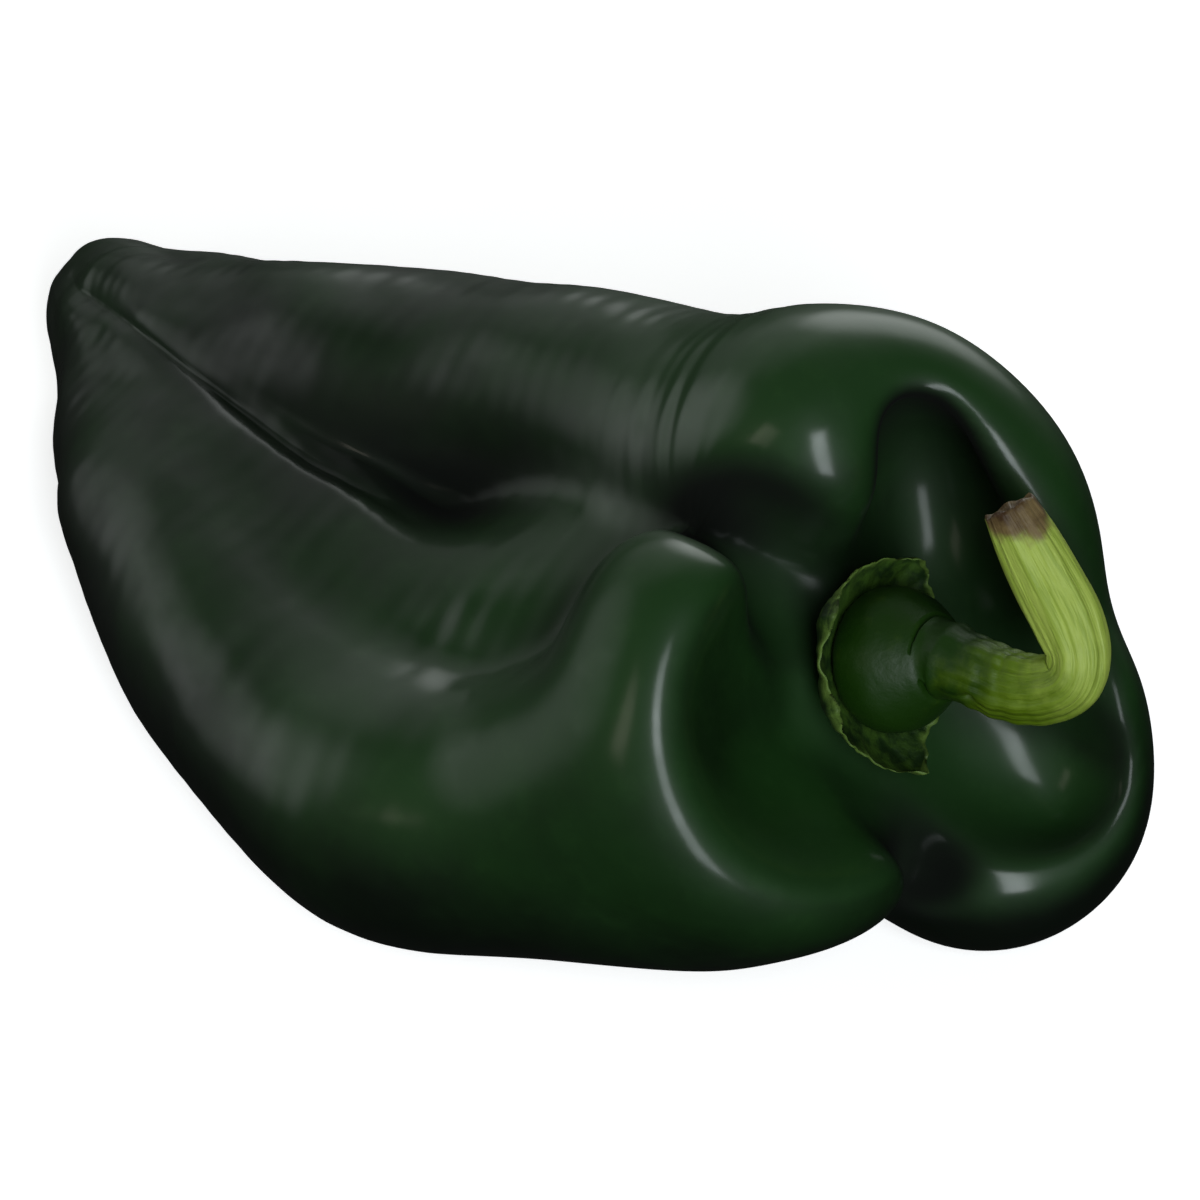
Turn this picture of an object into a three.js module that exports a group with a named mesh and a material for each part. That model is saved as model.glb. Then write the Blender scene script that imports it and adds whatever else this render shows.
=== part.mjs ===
// Poblano pepper lying on its side: the pod, the papery calyx collar and the bent stem.
// Millimetres, +Z up.  X runs from the tip (-X) to the stem end (+X); the pod rests on z = 0.
import * as THREE from 'three';
import { mergeVertices } from 'three/addons/utils/BufferGeometryUtils.js';

// ---------------------------------------------------------------- driving sizes
// Each lobe of the pod is a run of balls [x, y, z, radius]; the skin is drawn tight over all of them.
const LOBES = {
  farRidge: [[-60.5, 12, 11, 4], [-51, 9.5, 12.5, 6.5], [-39.5, 8.5, 16.5, 8.5], [-26.5, 11, 21, 10],
    [-12.5, 14.5, 24.5, 10.5], [2.5, 18, 29, 11], [16, 17.5, 33.5, 11]],
  farShoulder: [[16.5, 16.5, 34.5, 9.5], [22.5, 16.1, 38.1, 10], [26.6, 17.5, 40.7, 9.8],
    [27.9, 17.2, 37.8, 9]],
  farLip: [[23.1, 18.5, 42.1, 8], [26.9, 22.1, 43.5, 6.6], [31.1, 25, 44, 6.2], [36, 26.5, 42.9, 5.5],
    [40.7, 27, 40.7, 5], [44.6, 26.2, 37.7, 4.8], [47.5, 24.3, 34, 4.7], [49, 22.3, 30.4, 4.4]],
  farWall: [[26.1, 24.5, 29.7, 10.2], [32.7, 27.1, 27.7, 8.7], [39.5, 26.6, 24.8, 8.3],
    [44.3, 23.9, 20.8, 8.3], [48.3, 21.6, 16.2, 8.5], [51.6, 19.2, 11.3, 8.3], [52.6, 15.3, 7.4, 7.8]],
  farBacking: [[25.6, 24, 37, 8.5], [30.1, 26.8, 36.4, 7.4], [34.9, 28.1, 35.2, 6.8],
    [39.5, 27.9, 33.1, 6.3], [43.2, 26.5, 29.9, 6.1], [45.8, 24, 26.7, 6], [49.7, 22.6, 22.9, 5.5],
    [53.2, 21.8, 18.9, 5.5], [55.5, 19.6, 14.7, 5.6], [55.8, 17.3, 10.3, 6]],
  nearRidge: [[-61.6, 10, 8.2, 3.2], [-57, 8, 8.2, 4.6], [-48, 2.6, 9.3, 7.1],
    [-40.6, -3.2, 10.2, 8.6], [-28, -11.5, 11.5, 11], [-9, -20.5, 12, 11.5], [9.5, -23, 13, 13],
    [25.5, -18, 16.5, 11.5], [41, -10.5, 18, 10.5]],
  nearShoulder: [[25.5, -18, 21, 11], [31.5, -13.5, 29, 10], [30.2, -4.8, 37.8, 8.6]],
  nearCrest: [[30.5, -5.3, 37.6, 8.4], [32.7, -6.6, 36.5, 8.2], [34.5, -10, 33.4, 8.6],
    [37, -13.3, 29.4, 8.8], [40.6, -14.2, 25.6, 8.7], [45.2, -12, 23.1, 8.2], [48.2, -8, 22, 7.5],
    [49.5, -2.8, 20.9, 6.8]],
  panel: [[-40, 3, 10.5, 8.5], [-20.5, -4, 13, 10.5], [-4, -7.5, 14.5, 10.5], [11, -4.5, 18, 11],
    [18.5, -1, 21, 9.5]],
  core: [[7, 3.5, 17, 10.5], [18, 6, 21, 12], [29.1, 6.3, 22.5, 14], [36.4, 10, 20.4, 11]],
  lowShoulder: [[9.5, 1, 15.5, 10.5], [37, 4, 15.5, 11], [45.5, 8.5, 13, 8.5], [53, 10.5, 9.5, 7.5]],
  rightShoulder: [[51.8, 18.6, 29.6, 4.6], [54.7, 20.3, 27.1, 4.4], [57.5, 20.1, 23.3, 4.4],
    [59.5, 18.6, 18.5, 4.6], [60, 16.4, 14, 5], [58.8, 13.3, 11.1, 5.8], [55.7, 10.4, 9.6, 6.8],
    [51.4, 8.1, 9.9, 7.2]],
  backRidge: [[-51, 10, 9, 5.5], [-35, 12.5, 11.5, 9], [-13, 17, 12, 12.5], [10, 20.5, 14, 14],
    [32, 21.5, 15.5, 13.5], [48, 17, 15, 10]],
};
// The sunken stem end: a bowl, and the furrows that run out of it between the shoulders.
const HOLLOWS = {
  bowl: [[51, 8.8, 35.9, 11], [56, 9.3, 39, 13]],
  nearBowl: [[51, -5, 40.7, 13.8], [52, -4.9, 40.2, 13.8]],
  farFurrow: [[46.3, 15.4, 33.3, 5], [41.3, 18.7, 34.4, 5], [37.2, 21.9, 38.3, 4.6],
    [34.9, 21.4, 45.4, 2.5]],
  rightFurrow: [[51, 10.5, 33, 4.5], [55.5, 13.6, 30.7, 6], [56.1, 20.7, 36, 2]],
  lowFurrow: [[49, 1, 27, 3], [53.5, 0, 23, 2], [55, 0, 15, 1]],
  nearFurrow: [[39, 3.5, 37.5, 3.5], [35.4, 4.8, 38.1, 3], [32, 3.8, 40.9, 2.5],
    [28.6, 1.9, 43.7, 1.7]],
  lowRightFurrow: [[51.2, 6, 29.7, 4], [54.1, 9.8, 24.2, 5], [57.5, 12.5, 22.1, 5],
    [60.3, 14.8, 20.7, 3]],
};
const BALLS_PER_STEP = 5;       // balls laid along each step of a lobe's run
const FURROW_BALLS_PER_STEP = 4;
const BLEND_BALLS = 1.4;        // softness of the skin over one run
const BLEND_LOBES = 1.8;        // softness where two lobes meet
const BLEND_HOLLOWS = 2.6;      // softness of the edges of the hollows
const SKIN_TRIM = 0.9;          // takes back what the soft blend adds
const FAR_BALL = 12;            // softnesses away at which a ball no longer counts
const TINY = 1e-9;
const WELD = 1e-5;              // points closer than this are one

// Rings of the pod's mesh before they are drawn onto the skin: [x, y, z, ring radius].
const RINGS = [[-64.5, 11, 9.5, 0.4], [-60, 10, 10, 7], [-49, 6.5, 13, 12], [-31, 2, 17, 20],
  [-10.5, 0, 20, 27], [10, 0, 22, 31], [28, 3, 24, 34], [41, 7, 27, 34]];
const RING_COUNT = 50;
const RING_POINTS = 44;
const OUTER_SHARE = 0.74;       // share of the rings on the outside; the rest turn into the bowl
const BOWL_REACH = 12;          // how far the turning rings stand out of the bowl
const SETTLE_ROUNDS = 90;
const EVENING = 0.4;            // share of the pull taken up each round
const MAX_STEP = 2;
const LEAST_SLOPE = 0.2;        // keeps a step from running off where the skin's slope is faint
const FLOOR = 0;                // the underside is flattened where it lies on the table
const POD_AXIS = [0.97, -0.2, 0.15];
const CENTRING = [-0.54, -0.76, 0]; // puts the middle of the pepper's outline on the origin

// Stem end: where the stem axis leaves the pod and which way it points.
const SEAT = [41.6, 7.7, 30.1];
const STEM_AXIS = [0.85, 0.1, 0.517];

// Calyx: a thin five-cornered saucer lying in the bowl, rim lifted clear of the skin.
const CALYX_CORNER_RADIUS = 10.4;
const CALYX_SIDE_RADIUS = 8.6;
const CALYX_CORNERS = 5;
const CALYX_TURN = 0.35;        // turns the corners about the stem axis, radians
const CALYX_UNDERSIDE = -0.9;   // height of its middle on the stem axis
const CALYX_DISH = 0.022;       // how fast the underside rises outwards, 1/mm
const CALYX_THICK = 1.2;
const CALYX_RIM_THICK = 0.6;
const CALYX_RIM_LIFT = 1.5;
const CALYX_RIM_START = 0.6;    // share of the radius where the rim starts to lift
const CALYX_POINTS = 60;
const CALYX_STEPS = 7;

// Stem: a swollen foot on the calyx, then a thinner arm that bends sharply and folds back.
const FOOT = [[0.6, 4.4], [0.9, 5.6], [1.8, 6.3], [3.4, 6.5], [5.2, 6.2], [7, 5.2], [8.6, 4.1],
  [9.8, 3.4]];                  // [height on the stem axis, radius]
const ARM = [[53.2, 8.8, 35.8, 3.3, 3.2], [56.6, 9.3, 36, 3.3, 3],
  [59.8, 10.2, 37, 3.2, 2.9], [62, 11.4, 39, 3, 2.9], [61.8, 12.6, 41.3, 3, 2.8],
  [59.6, 13.7, 43.3, 3.6, 2.8], [56.6, 14.6, 45.4, 3.9, 2.8], [53.4, 15.4, 48, 4, 2.7],
  [50.6, 16, 50.4, 3.4, 2.4]];  // [x, y, z, half width across the bend, half thickness]
const BEND_NORMAL = [0.17, -0.86, 0.48];
const STEM_POINTS = 20;
const STEM_RINGS_PER_STEP = 3;
const INNER_BEND_LIMIT = 0.8;   // share of the bend radius the inner side may take up

// ---------------------------------------------------------------- meshes from grids
const vec = (a) => new THREE.Vector3(a[0], a[1], a[2]);

/** One closed body from rings of points, its two ends drawn to a single point each. */
function bodyFromRings(rings, startPoint, endPoint) {
  const n = rings[0].length;
  const points = [startPoint, ...rings.flat(), endPoint];
  const last = points.length - 1;
  const faces = [];
  const at = (i, j) => 1 + i * n + (j % n);
  for (let j = 0; j < n; j++) {
    faces.push(0, at(0, j + 1), at(0, j));
    faces.push(last, at(rings.length - 1, j), at(rings.length - 1, j + 1));
    for (let i = 0; i < rings.length - 1; i++) {
      faces.push(at(i, j), at(i, j + 1), at(i + 1, j + 1));
      faces.push(at(i, j), at(i + 1, j + 1), at(i + 1, j));
    }
  }
  const geometry = new THREE.BufferGeometry();
  geometry.setAttribute('position',
    new THREE.Float32BufferAttribute(points.flatMap((p) => [p.x, p.y, p.z]), 3));
  geometry.setIndex(faces);
  return outward(mergeVertices(geometry, WELD));
}

/** Turns every face round when the body's signed volume says it faces inwards. */
function outward(geometry) {
  const p = geometry.attributes.position;
  const index = geometry.index.array;
  const [a, b, c] = [new THREE.Vector3(), new THREE.Vector3(), new THREE.Vector3()];
  let volume = 0;
  for (let i = 0; i < index.length; i += 3) {
    a.fromBufferAttribute(p, index[i]);
    b.fromBufferAttribute(p, index[i + 1]);
    c.fromBufferAttribute(p, index[i + 2]);
    volume += a.dot(b.cross(c));
  }
  if (volume < 0) {
    for (let i = 0; i < index.length; i += 3) {
      [index[i + 1], index[i + 2]] = [index[i + 2], index[i + 1]];
    }
  }
  geometry.computeVertexNormals();
  return geometry;
}

// ---------------------------------------------------------------- pod
/** Lays balls evenly along a smooth curve through the given ones (Catmull-Rom). */
function ballsAlong(run, perStep) {
  const ends = [run[0].map((v, k) => 2 * v - run[1][k]), ...run,
    run[run.length - 1].map((v, k) => 2 * v - run[run.length - 2][k])];
  const balls = [];
  for (let i = 1; i < ends.length - 2; i++) {
    const [a, b, c, d] = ends.slice(i - 1, i + 3);
    for (let s = 0; s < perStep; s++) {
      const t = s / perStep;
      balls.push(b.map((_, k) => b[k] + 0.5 * t * (c[k] - a[k]
        + t * (2 * a[k] - 5 * b[k] + 4 * c[k] - d[k] + t * (3 * (b[k] - c[k]) + d[k] - a[k])))));
    }
  }
  balls.push(run[run.length - 1]);
  return balls;
}

/** Soft minimum of distances [d, gx, gy, gz], with its slope. */
function softMin(parts, softness) {
  let least = Infinity;
  for (const part of parts) least = Math.min(least, part[0]);
  let sum = 0, gx = 0, gy = 0, gz = 0;
  for (const part of parts) {
    const w = Math.exp((least - part[0]) / softness);
    sum += w;
    gx += w * part[1];
    gy += w * part[2];
    gz += w * part[3];
  }
  return [least - softness * Math.log(sum), gx / sum, gy / sum, gz / sum];
}

/** Distance from the skin of one run of balls, and its slope; far balls count for nothing. */
function distanceToRun(p, balls) {
  let least = Infinity;
  for (const ball of balls) {
    ball.gap = Math.hypot(p.x - ball.x, p.y - ball.y, p.z - ball.z);
    if (ball.gap - ball.r < least) least = ball.gap - ball.r;
  }
  let sum = 0, gx = 0, gy = 0, gz = 0;
  for (const ball of balls) {
    const excess = (ball.gap - ball.r - least) / BLEND_BALLS;
    if (excess > FAR_BALL || ball.gap < TINY) continue;
    const w = Math.exp(-excess), v = w / ball.gap;
    sum += w;
    gx += v * (p.x - ball.x);
    gy += v * (p.y - ball.y);
    gz += v * (p.z - ball.z);
  }
  return [least - BLEND_BALLS * Math.log(sum) + SKIN_TRIM, gx / sum, gy / sum, gz / sum];
}

const laid = (runs, perStep) => Object.values(runs).map((run) => ballsAlong(run, perStep)
  .map(([x, y, z, r]) => ({ x, y, z, r, gap: 0 })));
const lobeBalls = laid(LOBES, BALLS_PER_STEP);
const hollowBalls = laid(HOLLOWS, FURROW_BALLS_PER_STEP);

/** Distance from the pod's skin (inside is negative) and the slope of it. */
function skin(p) {
  const flesh = softMin(lobeBalls.map((balls) => distanceToRun(p, balls)), BLEND_LOBES);
  const hollow = softMin(hollowBalls.map((balls) => distanceToRun(p, balls)), BLEND_LOBES);
  return softMin([flesh.map((v) => -v), hollow], BLEND_HOLLOWS).map((v) => -v);
}

/** Loose rings round the pod from the tip to the shoulders, then turned in over the bowl. */
function looseRings() {
  const seat = vec(SEAT), axis = vec(STEM_AXIS).normalize();
  const body = vec(POD_AXIS);
  const lastRing = RINGS[RINGS.length - 1];
  const rings = [];
  for (let i = 0; i < RING_COUNT; i++) {
    const u = i / (RING_COUNT - 1);
    const run = Math.min(u / OUTER_SHARE, 1);
    const k = Math.min(Math.floor(run * (RINGS.length - 1)), RINGS.length - 2);
    const f = run * (RINGS.length - 1) - k;
    const [x, y, z, r] = RINGS[k].map((v, m) => v + f * (RINGS[k + 1][m] - v));
    const turned = Math.max((u - OUTER_SHARE) / (1 - OUTER_SHARE), 0);
    const centre = new THREE.Vector3(x, y, z).lerp(seat, turned)
      .addScaledVector(axis, BOWL_REACH * Math.sin(turned * Math.PI));
    const radius = turned > 0 ? lastRing[3] * (1 - turned) : r;
    const facing = body.clone().lerp(axis, run * run).normalize();
    const up = new THREE.Vector3(0, 0, 1).addScaledVector(facing, -facing.z).normalize();
    const side = new THREE.Vector3().crossVectors(facing, up);
    rings.push(Array.from({ length: RING_POINTS }, (_, j) => {
      const angle = (2 * Math.PI * j) / RING_POINTS;
      return centre.clone().addScaledVector(up, radius * Math.cos(angle))
        .addScaledVector(side, radius * Math.sin(angle));
    }));
  }
  return rings;
}

/** Pull on a point towards its neighbours, the longer edges pulling harder. */
function evening(p, neighbours) {
  const pull = new THREE.Vector3();
  let total = TINY;
  for (const q of neighbours) {
    const weight = p.distanceTo(q);
    pull.x += weight * (q.x - p.x);
    pull.y += weight * (q.y - p.y);
    pull.z += weight * (q.z - p.z);
    total += weight;
  }
  return pull.divideScalar(total);
}

/** Draws the rings onto the skin while evening out the spacing along it. */
function settle(rings) {
  const n = RING_POINTS;
  const last = rings.length - 1;
  for (let round = 0; round < SETTLE_ROUNDS; round++) {
    const next = rings.map((ring, i) => ring.map((p, j) => {
      const [d, gx, gy, gz] = skin(p);
      const slope = new THREE.Vector3(gx, gy, gz);
      const step = slope.clone().multiplyScalar(-d / Math.max(slope.lengthSq(), LEAST_SLOPE))
        .clampLength(0, MAX_STEP);
      step.add(p);
      if (i > 0 && i < last) {
        const pull = evening(p, [ring[(j + 1) % n], ring[(j + n - 1) % n], rings[i - 1][j],
          rings[i + 1][j]]);
        slope.normalize();
        step.addScaledVector(pull.addScaledVector(slope, -pull.dot(slope)), EVENING);
      }
      return step;
    }));
    for (const end of [0, last]) {
      const middle = next[end].reduce((m, p) => m.add(p), new THREE.Vector3()).divideScalar(n);
      next[end] = next[end].map(() => middle.clone());
    }
    rings = next;
  }
  return rings;
}

function podGeometry() {
  const rings = settle(looseRings());
  for (const p of rings.flat()) p.z = Math.max(p.z, FLOOR);
  return bodyFromRings(rings.slice(1, -1), rings[0][0], rings[rings.length - 1][0]);
}

// ---------------------------------------------------------------- calyx
/** A saucer: underside from the middle to the rim, then back over the top to the middle. */
function calyxGeometry() {
  const outline = (angle) => {
    const wave = 0.5 + 0.5 * Math.cos(CALYX_CORNERS * (angle - CALYX_TURN));
    return CALYX_SIDE_RADIUS + (CALYX_CORNER_RADIUS - CALYX_SIDE_RADIUS) * wave ** 2;
  };
  const height = (radius, share) => CALYX_UNDERSIDE + CALYX_DISH * radius ** 2
    + CALYX_RIM_LIFT * Math.max((share - CALYX_RIM_START) / (1 - CALYX_RIM_START), 0) ** 2;
  const ring = (share, top) => Array.from({ length: CALYX_POINTS }, (_, j) => {
    const angle = (2 * Math.PI * j) / CALYX_POINTS;
    const radius = outline(angle) * share;
    const thick = CALYX_THICK + (CALYX_RIM_THICK - CALYX_THICK) * share;
    return new THREE.Vector3(radius * Math.cos(angle), radius * Math.sin(angle),
      height(radius, share) + (top ? thick : 0));
  });
  const shares = Array.from({ length: CALYX_STEPS }, (_, i) => (i + 1) / CALYX_STEPS);
  const rings = [...shares.map((s) => ring(s, false)), ...shares.reverse().map((s) => ring(s, true))];
  return bodyFromRings(rings, new THREE.Vector3(0, 0, CALYX_UNDERSIDE),
    new THREE.Vector3(0, 0, CALYX_UNDERSIDE + CALYX_THICK));
}

// ---------------------------------------------------------------- stem
/** Oval rings swept along the foot and the arm; the inner side of the bend is held back. */
function stemGeometry() {
  const seat = vec(SEAT), axis = vec(STEM_AXIS).normalize();
  const foot = FOOT.map(([h, r]) => [...seat.clone().addScaledVector(axis, h).toArray(), r, r]);
  const stations = ballsAlong([...foot, ...ARM], STEM_RINGS_PER_STEP);
  const centres = stations.map(vec);
  const lastAt = centres.length - 1;
  const footRings = (FOOT.length - 1) * STEM_RINGS_PER_STEP;
  const rings = stations.map(([, , , width, thick], i) => {
    const before = centres[Math.max(i - 1, 0)], after = centres[Math.min(i + 1, lastAt)];
    const along = i < footRings ? axis.clone() : after.clone().sub(before).normalize();
    const side = new THREE.Vector3().crossVectors(vec(BEND_NORMAL), along).normalize();
    const across = new THREE.Vector3().crossVectors(along, side);
    const bend = after.clone().add(before).addScaledVector(centres[i], -2)
      .multiplyScalar(4 / after.distanceToSquared(before));
    const towards = bend.dot(side);
    return Array.from({ length: STEM_POINTS }, (_, j) => {
      const angle = (2 * Math.PI * j) / STEM_POINTS;
      let s = width * Math.cos(angle);
      if (s * towards > INNER_BEND_LIMIT) s = INNER_BEND_LIMIT / towards;
      return centres[i].clone().addScaledVector(side, s)
        .addScaledVector(across, thick * Math.sin(angle));
    });
  });
  const offset = seat.clone().negate();
  const local = rings.map((ring) => ring.map((p) => p.add(offset)));
  const middle = (ring) => ring.reduce((m, p) => m.add(p), new THREE.Vector3())
    .divideScalar(ring.length);
  return bodyFromRings(local, middle(local[0]), middle(local[local.length - 1]));
}

// ---------------------------------------------------------------- assembly
function part(name, geometry, colour, roughness) {
  const mesh = new THREE.Mesh(geometry,
    new THREE.MeshStandardMaterial({ color: colour, roughness, metalness: 0 }));
  mesh.name = name;
  return mesh;
}

const pepper = new THREE.Group();
pepper.name = 'poblano_pepper';

const pod = part('pod', podGeometry(), 0x14301a, 0.25);

const calyx = part('calyx', calyxGeometry(), 0x3a5a1a, 0.6);
calyx.position.copy(vec(SEAT));
calyx.quaternion.setFromUnitVectors(new THREE.Vector3(0, 0, 1), vec(STEM_AXIS).normalize());

const stem = part('stem', stemGeometry(), 0x6f8a2a, 0.55);
stem.position.copy(vec(SEAT));

pepper.add(pod, calyx, stem);
pepper.position.copy(vec(CENTRING));
export default pepper;
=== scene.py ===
"""Poblano pepper lying on its side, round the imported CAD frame.  Shapes are worked out in millimetres."""
import math

import bpy
import numpy as np
from mathutils import Matrix, Vector


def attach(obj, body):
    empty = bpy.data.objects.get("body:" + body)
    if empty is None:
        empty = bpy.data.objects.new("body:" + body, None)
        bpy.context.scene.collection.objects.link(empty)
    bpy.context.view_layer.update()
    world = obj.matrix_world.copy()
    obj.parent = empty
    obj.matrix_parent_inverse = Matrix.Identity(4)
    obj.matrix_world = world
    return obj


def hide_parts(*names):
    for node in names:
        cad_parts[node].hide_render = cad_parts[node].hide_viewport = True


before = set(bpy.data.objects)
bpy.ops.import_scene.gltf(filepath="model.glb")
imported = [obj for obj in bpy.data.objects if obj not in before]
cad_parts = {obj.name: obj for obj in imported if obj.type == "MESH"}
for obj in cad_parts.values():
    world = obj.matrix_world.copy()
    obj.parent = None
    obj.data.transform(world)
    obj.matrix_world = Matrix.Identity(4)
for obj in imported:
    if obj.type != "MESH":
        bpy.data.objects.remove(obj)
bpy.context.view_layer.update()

# ---------------------------------------------------------------------------
# Studio.  A long lens looks down on the stem end.  A tall soft box stands close by the lens and a
# weak warm one to its left; a strong glow comes from behind and two fainter ones from the left.
# ---------------------------------------------------------------------------
MM = 0.001
LENS_TURN, LENS_RISE = math.radians(40), math.radians(48)
LENS_DISTANCE = 0.585
VIEW_WIDTH = 0.1116
VIEW_MIDDLE = Vector((0.02106, -0.00836, 0.0371))
SENSOR_MM = 36.0

to_lens = Vector((math.sin(LENS_TURN) * math.cos(LENS_RISE),
                  -math.cos(LENS_TURN) * math.cos(LENS_RISE), math.sin(LENS_RISE)))
right_of_lens = Vector((math.cos(LENS_TURN), math.sin(LENS_TURN), 0))
up_of_lens = to_lens.cross(right_of_lens)

camera = bpy.data.objects.new("camera", bpy.data.cameras.new("camera"))
camera.data.sensor_width = SENSOR_MM
camera.data.lens = SENSOR_MM * LENS_DISTANCE / VIEW_WIDTH
camera.data.clip_end = 20
camera.matrix_world = Matrix.LocRotScale(VIEW_MIDDLE + LENS_DISTANCE * to_lens,
                                         to_lens.to_track_quat("Z", "Y"), None)
bpy.context.scene.collection.objects.link(camera)
bpy.context.scene.camera = camera
bpy.context.scene.view_settings.view_transform = "Standard"


def soft_box(name, right, up, out, distance, width, height, strength, colour):
    """Rectangular light at `distance` along right/up/out of the lens, facing the pepper.

    strength is the brightness of its face, so the lamp's power is strength * area * pi.
    """
    lamp = bpy.data.lights.new(name, "AREA")
    lamp.shape = "RECTANGLE"
    lamp.size, lamp.size_y = width, height
    lamp.energy = strength * width * height * math.pi
    lamp.color = colour
    way = (right * right_of_lens + up * up_of_lens + out * to_lens).normalized()
    lamp_object = bpy.data.objects.new(name, lamp)
    lamp_object.matrix_world = Matrix.LocRotScale(VIEW_MIDDLE + distance * way,
                                                  way.to_track_quat("Z", "Y"), None)
    bpy.context.scene.collection.objects.link(lamp_object)


soft_box("lamp_key", 0.17, -0.24, 0.96, 1.0, 0.26, 0.85, 10.5, (0.90, 0.97, 1.0))
soft_box("lamp_window", -0.60, 0.0, 0.78, 1.2, 0.24, 0.50, 1.9, (1.0, 0.92, 0.78))

world = bpy.data.worlds.new("studio")
bpy.context.scene.world = world
world.use_nodes = True
world.node_tree.nodes.clear()


def sky(kind, settings=None, values=None, output=0):
    """Adds a node to the world's tree and gives back its output socket."""
    node = world.node_tree.nodes.new(kind)
    for key, value in (settings or {}).items():
        setattr(node, key, value)
    for key, value in (values or {}).items():
        if isinstance(value, bpy.types.NodeSocket):
            world.node_tree.links.new(value, node.inputs[key])
        else:
            node.inputs[key].default_value = value
    return node.outputs[output] if node.outputs else None


def glow(bearing, rise, inner, outer, strength):
    """Soft glow round a direction (degrees): full inside `inner` of it, none outside `outer`."""
    bearing, rise = math.radians(bearing), math.radians(rise)
    centre = (math.cos(bearing) * math.cos(rise), math.sin(bearing) * math.cos(rise), math.sin(rise))
    nearness = sky("ShaderNodeVectorMath", {"operation": "DOT_PRODUCT"},
                   {0: sky("ShaderNodeTexCoord"), 1: centre}, 1)
    return sky("ShaderNodeMapRange", {"interpolation_type": "SMOOTHSTEP"},
               {"Value": nearness, "From Min": math.cos(math.radians(outer)),
                "From Max": math.cos(math.radians(inner)), "To Max": strength})


ROOM_LIGHT = 0.010     # brightness of the room away from the glows
glows = glow(113, 15, 6, 28, 3.6)
for more in (glow(152, 30, 8, 38, 0.42), glow(-152, 16, 5, 34, 1.15), ROOM_LIGHT):
    glows = sky("ShaderNodeMath", None, {0: glows, 1: more})
room = sky("ShaderNodeBackground", None, {"Color": (0.95, 1.0, 0.98, 1), "Strength": glows})
backdrop = sky("ShaderNodeBackground", None, {"Color": (0.93, 0.93, 0.93, 1)})
seen = sky("ShaderNodeLightPath", None, None, "Is Camera Ray")
sky("ShaderNodeOutputWorld", None, {0: sky("ShaderNodeMixShader", None, {0: seen, 1: room, 2: backdrop})})

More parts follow.
